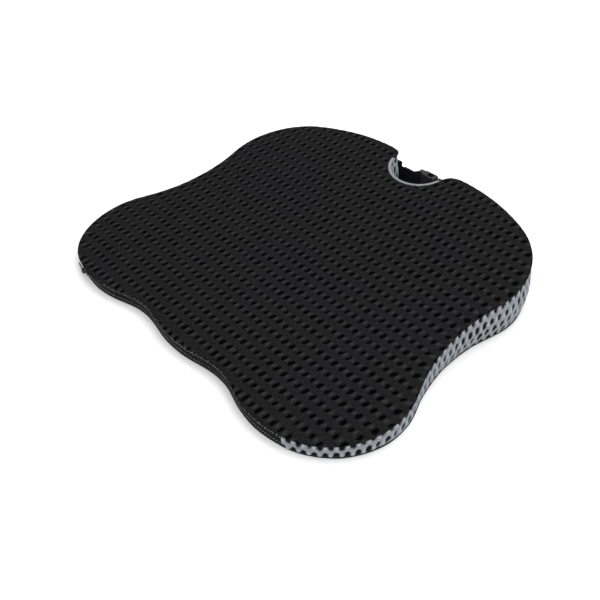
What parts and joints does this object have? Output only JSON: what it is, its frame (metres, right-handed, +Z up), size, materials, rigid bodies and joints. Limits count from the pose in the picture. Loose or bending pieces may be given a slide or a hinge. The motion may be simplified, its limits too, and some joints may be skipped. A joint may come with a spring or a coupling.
{
  "type": "seat cushion",
  "caption": "Wedge seat cushion with a U-shaped tailbone cut-out, zipped mesh cover and a buckled strap across the cut-out.",
  "frame": {"origin": "on the floor, under the middle of the whole part's box", "axes": "+X to the right seen from the thin front edge, +Y towards the thick rear edge with the cut-out, +Z up"},
  "size_m": [0.4506, 0.387, 0.061],
  "materials": {
    "foam": "open-cell memory foam",
    "liner": "thin knit",
    "black_mesh": "black spacer mesh with staggered oval holes",
    "grey_mesh": "light grey spacer mesh with staggered oval holes",
    "black_base": "woven fabric with rubber grip dots",
    "zip_tape": "woven polyester tape",
    "zip_teeth": "nylon coil",
    "zip_metal": "black enamel",
    "webbing": "polypropylene webbing",
    "elastic": "ribbed elastic",
    "buckle_plastic": "moulded acetal"
  },
  "bodies": {
    "cushion": {"foam_core": "foam", "liner_top": "liner", "liner_base": "liner", "top_panel": "black_mesh", "base_panel": "black_base", "side_band_left": "grey_mesh", "side_band_right": "grey_mesh", "notch_band": "grey_mesh", "zip_tape_upper": "zip_tape", "zip_tape_lower": "zip_tape", "zip_coil_upper": "zip_teeth", "zip_coil_lower": "zip_teeth", "zip_stop_left": "zip_metal", "zip_stop_right": "zip_metal", "anchor_patch_left": "webbing", "anchor_patch_right": "webbing", "strap_left": "webbing", "strap_right": "webbing", "buckle_socket": "buckle_plastic"},
    "slider": {"zip_slider": "zip_metal"},
    "pull_tab": {"zip_pull_tab": "zip_metal"},
    "plug": {"buckle_plug": "buckle_plastic"},
    "keeper": {"strap_keeper": "elastic"}
  },
  "joints": [
    {"name": "zip_slide", "type": "hinge", "parent": "cushion", "child": "slider", "pos_m": [-0.1335, -0.07473, 0.0078], "axis": [0, 0, 1], "range_deg": [0, 28]},
    {"name": "pull_tab_swing", "type": "hinge", "parent": "slider", "child": "pull_tab", "pos_m": [-0.16153, -0.19162, 0.0078], "axis": [0, 0, 1], "range_deg": [0, 140]},
    {"name": "plug_release", "type": "slide", "parent": "cushion", "child": "plug", "axis": [1, 0, 0], "range_m": [0, 0.02], "deforming": ["strap_right"]},
    {"name": "keeper_slide", "type": "slide", "parent": "cushion", "child": "keeper", "axis": [1, 0, 0], "range_m": [-0.01, 0.008]}
  ]
}
